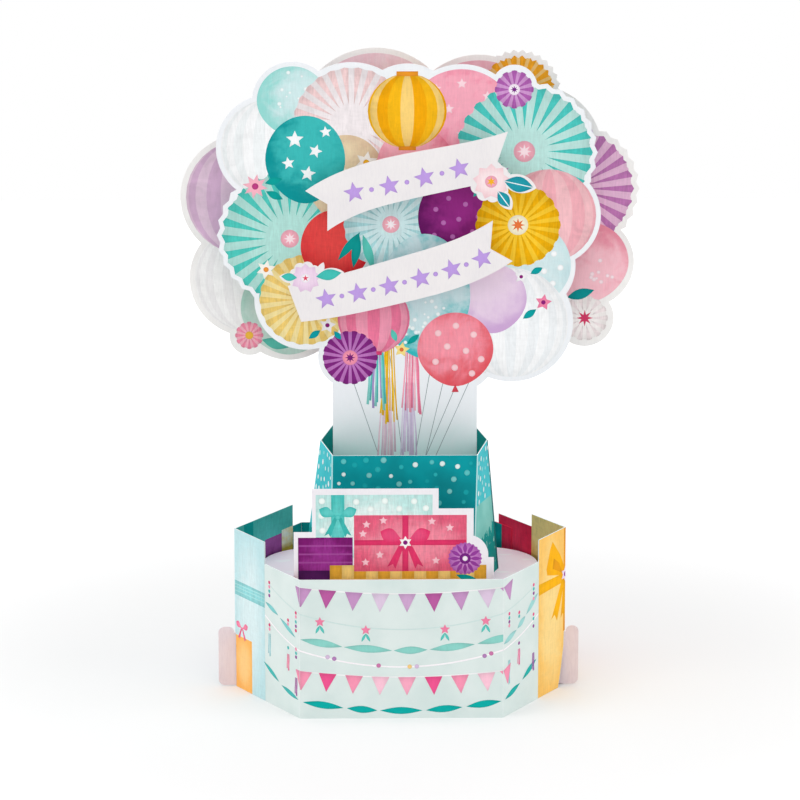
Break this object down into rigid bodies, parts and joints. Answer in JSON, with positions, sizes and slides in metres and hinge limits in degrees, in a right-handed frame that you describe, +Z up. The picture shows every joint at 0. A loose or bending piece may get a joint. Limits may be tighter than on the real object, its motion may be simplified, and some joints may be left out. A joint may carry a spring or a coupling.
{
  "type": "pop-up card",
  "caption": "Free-standing folded card: an open-topped base with a deck, a tapered box, a stepped present card and layered die-cut balloon cards that carry raised banners.",
  "frame": {"origin": "middle of the card's footprint box, on the table", "axes": "+X to the viewer's right, +Y away from the viewer, +Z up"},
  "size_m": [0.1806, 0.08, 0.2583],
  "materials": {
    "wall_card": "matt printed card",
    "strap_card": "matt printed card",
    "deck_card": "matt printed card",
    "box_card": "matt printed card",
    "present_card_stock": "matt printed card",
    "front_bunch_card": "matt printed card",
    "rear_bunch_card": "matt printed card",
    "banner_card": "matt printed card",
    "spacer_card": "matt printed card"
  },
  "bodies": {
    "root": {"base_wall": "wall_card", "centre_strap": "strap_card", "deck": "deck_card", "tapered_box": "box_card", "present_card": "present_card_stock", "front_balloon_card": "front_bunch_card", "rear_balloon_card": "rear_bunch_card", "upper_banner": "banner_card", "lower_banner": "banner_card", "left_bunch_spacer": "spacer_card", "right_bunch_spacer": "spacer_card", "upper_banner_left_spacer": "spacer_card", "upper_banner_right_spacer": "spacer_card", "lower_banner_left_spacer": "spacer_card", "lower_banner_right_spacer": "spacer_card"}
  },
  "joints": []
}
